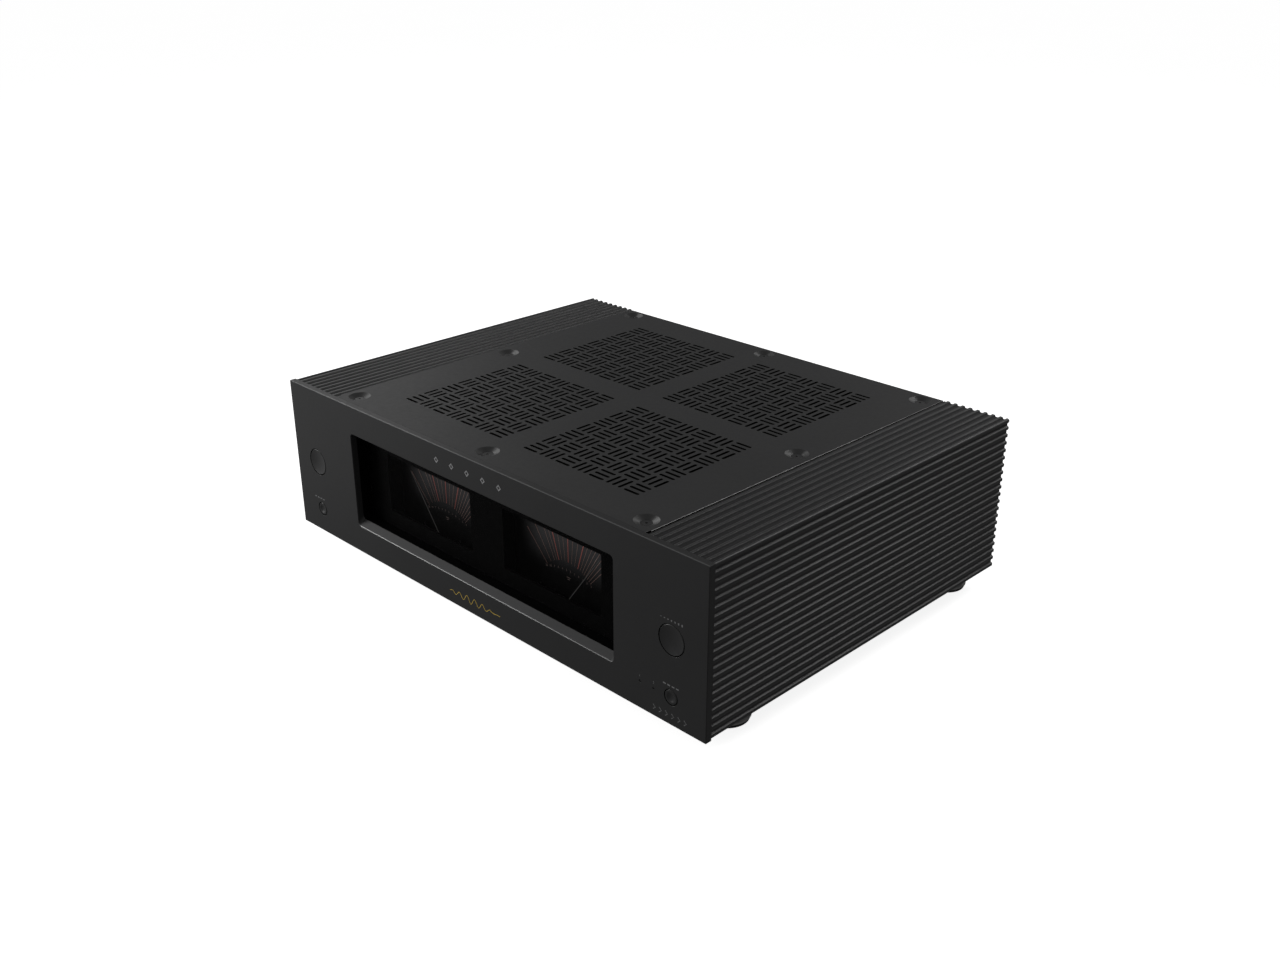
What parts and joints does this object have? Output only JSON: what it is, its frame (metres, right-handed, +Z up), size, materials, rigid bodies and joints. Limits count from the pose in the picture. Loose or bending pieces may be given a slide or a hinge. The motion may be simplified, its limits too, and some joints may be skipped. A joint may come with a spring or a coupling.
{
  "type": "stereo power amplifier",
  "caption": "Wide black stereo power amplifier with a ribbed metal case, a vented top and a long front window with needle meters.",
  "frame": {"origin": "centre of the footprint (front panel face to the ends of the terminal caps), at the height the feet stand on", "axes": "+X to the right seen from the front, +Y to the back, +Z up"},
  "size_m": [0.435, 0.3356, 0.1345],
  "materials": {
    "black_anodised_panel": "fine bead-blasted, black anodised",
    "black_anodised_sink": "extruded, satin black anodised",
    "button_black": "turned with a dished face, black anodised",
    "window_glass": "clear, lightly tinted",
    "bezel_black": "fine matte moulding",
    "dial_grey": "printed matte face, dark grey",
    "needle_grey": "painted satin grey",
    "bare_steel": "zinc-plated sheet",
    "black_steel": "fine-textured black powder coat",
    "screw_black": "black oxide",
    "foot_black": "moulded black with a bright ring",
    "indicator_lens": "smoked light pipe",
    "board_green": "green solder mask",
    "capacitor_sleeve": "shrink sleeve",
    "transformer_winding": "enamelled copper winding on an iron core, taped",
    "socket_plastic": "moulded black plastic",
    "gold_plate": "gold-plated brass"
  },
  "bodies": {
    "chassis": {"amplifier_board_left": "board_green", "amplifier_board_right": "board_green", "balanced_socket_left": "socket_plastic", "balanced_socket_right": "socket_plastic", "bottom_plate": "black_steel", "button_board_left": "board_green", "button_board_right": "board_green", "cover_screw_front_centre": "screw_black", "cover_screw_front_left": "screw_black", "cover_screw_front_right": "screw_black", "cover_screw_middle_left": "screw_black", "cover_screw_middle_right": "screw_black", "cover_screw_rear_centre": "screw_black", "cover_screw_rear_left": "screw_black", "cover_screw_rear_right": "screw_black", "filter_capacitor_left": "capacitor_sleeve", "filter_capacitor_right": "capacitor_sleeve", "foot_front_left": "foot_black", "foot_front_right": "foot_black", "foot_rear_left": "foot_black", "foot_rear_right": "foot_black", "front_panel": "black_anodised_panel", "front_subchassis": "bare_steel", "heat_sink_left": "black_anodised_sink", "heat_sink_right": "black_anodised_sink", "indicator_a": "indicator_lens", "indicator_b": "indicator_lens", "input_board": "board_green", "mains_inlet": "socket_plastic", "meter_bezel": "bezel_black", "meter_dial_left": "dial_grey", "meter_dial_right": "dial_grey", "meter_housing_left": "bezel_black", "meter_housing_right": "bezel_black", "output_module_left": "socket_plastic", "output_module_right": "socket_plastic", "phono_sockets": "gold_plate", "power_supply_board": "board_green", "rear_panel": "black_steel", "terminal_block_left": "socket_plastic", "terminal_block_right": "socket_plastic", "top_cover": "black_anodised_panel", "transformer": "transformer_winding", "transformer_clamp": "bare_steel", "window_glass": "window_glass"},
    "power_button": {"power_button": "button_black"},
    "input_button": {"input_button": "button_black"},
    "meter_button": {"meter_button": "button_black"},
    "speaker_button": {"speaker_button": "button_black"},
    "needle_left": {"meter_needle_left": "needle_grey"},
    "needle_right": {"meter_needle_right": "needle_grey"},
    "selector_switch": {"selector_switch": "socket_plastic"},
    "cap_left_1": {"terminal_cap_left_1": "gold_plate"},
    "cap_left_2": {"terminal_cap_left_2": "gold_plate"},
    "cap_left_3": {"terminal_cap_left_3": "gold_plate"},
    "cap_left_4": {"terminal_cap_left_4": "gold_plate"},
    "cap_right_1": {"terminal_cap_right_1": "gold_plate"},
    "cap_right_2": {"terminal_cap_right_2": "gold_plate"},
    "cap_right_3": {"terminal_cap_right_3": "gold_plate"},
    "cap_right_4": {"terminal_cap_right_4": "gold_plate"}
  },
  "joints": [
    {"name": "power_button_press", "type": "slide", "parent": "chassis", "child": "power_button", "axis": [0, 1, 0], "range_m": [0, 0.002], "stiffness_N_per_m": 300, "springref_m": -0.002},
    {"name": "meter_button_press", "type": "slide", "parent": "chassis", "child": "meter_button", "axis": [0, 1, 0], "range_m": [0, 0.002], "stiffness_N_per_m": 300, "springref_m": -0.002},
    {"name": "input_button_press", "type": "slide", "parent": "chassis", "child": "input_button", "axis": [0, 1, 0], "range_m": [0, 0.0015], "stiffness_N_per_m": 250, "springref_m": -0.002},
    {"name": "speaker_button_press", "type": "slide", "parent": "chassis", "child": "speaker_button", "axis": [0, 1, 0], "range_m": [0, 0.0015], "stiffness_N_per_m": 250, "springref_m": -0.002},
    {"name": "needle_left_swing", "type": "hinge", "parent": "chassis", "child": "needle_left", "pos_m": [-0.06575, -0.1433, 0.039], "axis": [0, 1, 0], "range_deg": [0, 74], "stiffness_Nm_per_rad": 0.004, "springref_deg": -2.86},
    {"name": "needle_right_swing", "type": "hinge", "parent": "chassis", "child": "needle_right", "pos_m": [0.06575, -0.1433, 0.039], "axis": [0, 1, 0], "range_deg": [-74, 1.3], "stiffness_Nm_per_rad": 0.004},
    {"name": "cap_left_1_unscrew", "type": "slide", "parent": "chassis", "child": "cap_left_1", "axis": [0, 1, 0], "range_m": [0, 0.004]},
    {"name": "cap_left_2_unscrew", "type": "slide", "parent": "chassis", "child": "cap_left_2", "axis": [0, 1, 0], "range_m": [0, 0.004]},
    {"name": "cap_left_3_unscrew", "type": "slide", "parent": "chassis", "child": "cap_left_3", "axis": [0, 1, 0], "range_m": [0, 0.004]},
    {"name": "cap_left_4_unscrew", "type": "slide", "parent": "chassis", "child": "cap_left_4", "axis": [0, 1, 0], "range_m": [0, 0.004]},
    {"name": "cap_right_1_unscrew", "type": "slide", "parent": "chassis", "child": "cap_right_1", "axis": [0, 1, 0], "range_m": [0, 0.004]},
    {"name": "cap_right_2_unscrew", "type": "slide", "parent": "chassis", "child": "cap_right_2", "axis": [0, 1, 0], "range_m": [0, 0.004]},
    {"name": "cap_right_3_unscrew", "type": "slide", "parent": "chassis", "child": "cap_right_3", "axis": [0, 1, 0], "range_m": [0, 0.004]},
    {"name": "cap_right_4_unscrew", "type": "slide", "parent": "chassis", "child": "cap_right_4", "axis": [0, 1, 0], "range_m": [0, 0.004]},
    {"name": "selector_switch_slide", "type": "slide", "parent": "chassis", "child": "selector_switch", "axis": [1, 0, 0], "range_m": [0, 0.004]}
  ]
}
